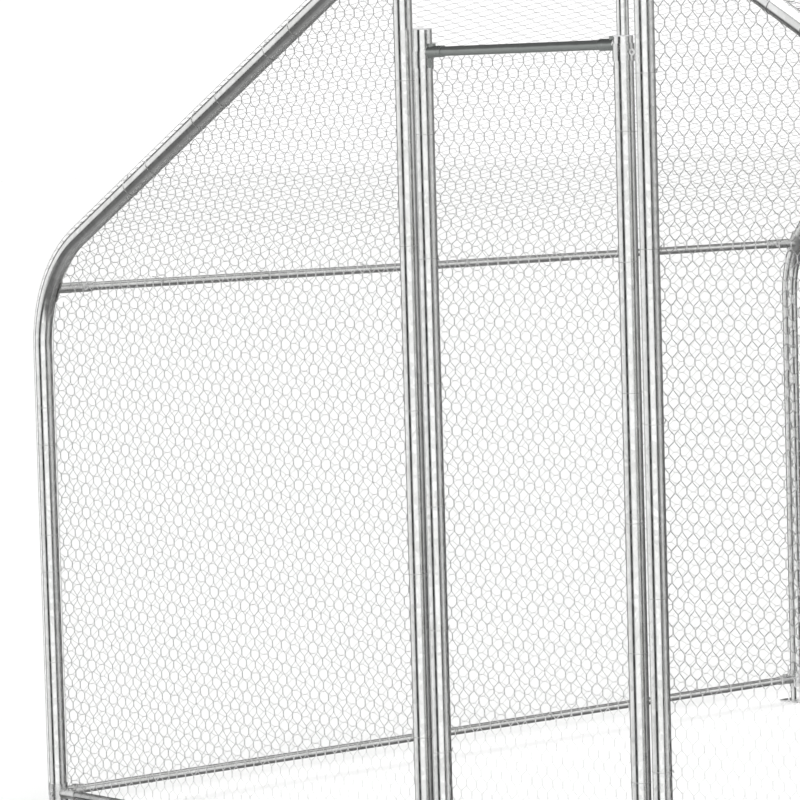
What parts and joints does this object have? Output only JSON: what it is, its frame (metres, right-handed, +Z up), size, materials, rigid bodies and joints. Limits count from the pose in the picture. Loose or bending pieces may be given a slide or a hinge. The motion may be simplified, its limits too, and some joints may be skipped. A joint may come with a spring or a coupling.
{
  "type": "chicken pen",
  "caption": "Walk-in poultry pen of round galvanised tube with a gable roof, radiused eaves, hexagonal wire netting and a netted hinged door in the front gable.",
  "frame": {"origin": "on the ground, under the middle of the pen's bounding box", "axes": "+X to the right along the front gable as seen from outside, +Y from the front gable into the pen, +Z up"},
  "size_m": [2.785, 2.06, 1.7978],
  "materials": {
    "galvanised_tube": "bright galvanised, fine spangle",
    "door_rail_tube": "weathered galvanised, darker than the other tubes",
    "galvanised_fittings": "galvanised, satin",
    "zinc_fasteners": "zinc plated",
    "netting_wire": "galvanised wire, hexagonal mesh of about 25 mm",
    "black_plastic": "moulded, fine texture",
    "grey_plastic": "moulded, fine texture, pale grey"
  },
  "bodies": {
    "frame": {"connector_set_screws": "zinc_fasteners", "corner_connectors": "galvanised_fittings", "door_pivot_tube": "galvanised_tube", "eave_connectors": "galvanised_fittings", "foot_plates": "galvanised_fittings", "frame_screws": "zinc_fasteners", "front_left_bottom_rail": "galvanised_tube", "front_left_eave_elbow": "galvanised_tube", "front_left_leg": "galvanised_tube", "front_left_netting": "netting_wire", "front_left_rafter": "galvanised_tube", "front_ridge_elbow": "galvanised_tube", "front_right_bottom_rail": "galvanised_tube", "front_right_eave_elbow": "galvanised_tube", "front_right_leg": "galvanised_tube", "front_right_netting": "netting_wire", "front_right_rafter": "galvanised_tube", "hinge_side_post": "galvanised_tube", "latch_keeper": "galvanised_fittings", "latch_side_post": "galvanised_tube", "left_bottom_rail": "galvanised_tube", "left_eave_rail": "galvanised_tube", "left_side_netting": "netting_wire", "pivot_brackets": "galvanised_fittings", "post_foot_caps": "black_plastic", "post_foot_clamps": "galvanised_fittings", "post_top_clamps": "galvanised_fittings", "rear_bottom_rail": "galvanised_tube", "rear_left_eave_elbow": "galvanised_tube", "rear_left_leg": "galvanised_tube", "rear_left_post": "galvanised_tube", "rear_left_rafter": "galvanised_tube", "rear_netting": "netting_wire", "rear_ridge_elbow": "galvanised_tube", "rear_right_eave_elbow": "galvanised_tube", "rear_right_leg": "galvanised_tube", "rear_right_post": "galvanised_tube", "rear_right_rafter": "galvanised_tube", "ridge_connectors": "galvanised_fittings", "ridge_rail": "galvanised_tube", "right_bottom_rail": "galvanised_tube", "right_eave_rail": "galvanised_tube", "right_side_netting": "netting_wire", "thrust_collar": "galvanised_fittings", "tube_spigots": "galvanised_fittings"},
    "door": {"door_hinge_stile": "galvanised_tube", "door_latch_stile": "galvanised_tube", "door_top_rail": "door_rail_tube", "door_bottom_rail": "galvanised_tube", "door_corner_clamps": "galvanised_fittings", "door_set_screws": "zinc_fasteners", "hinge_bushes": "grey_plastic", "stile_plugs": "grey_plastic", "door_netting": "netting_wire", "latch_bracket": "galvanised_fittings", "latch_pivot_bolt": "zinc_fasteners"},
    "latch": {"latch_arm": "galvanised_fittings"}
  },
  "joints": [
    {"name": "door_swing", "type": "hinge", "parent": "frame", "child": "door", "pos_m": [0.2445, -1, 0.75], "axis": [0, 0, 1], "range_deg": [0, 120]},
    {"name": "latch_flip", "type": "hinge", "parent": "door", "child": "latch", "pos_m": [-0.2445, -1.0218, 0.11], "axis": [0, -1, 0], "range_deg": [0, 100]}
  ]
}
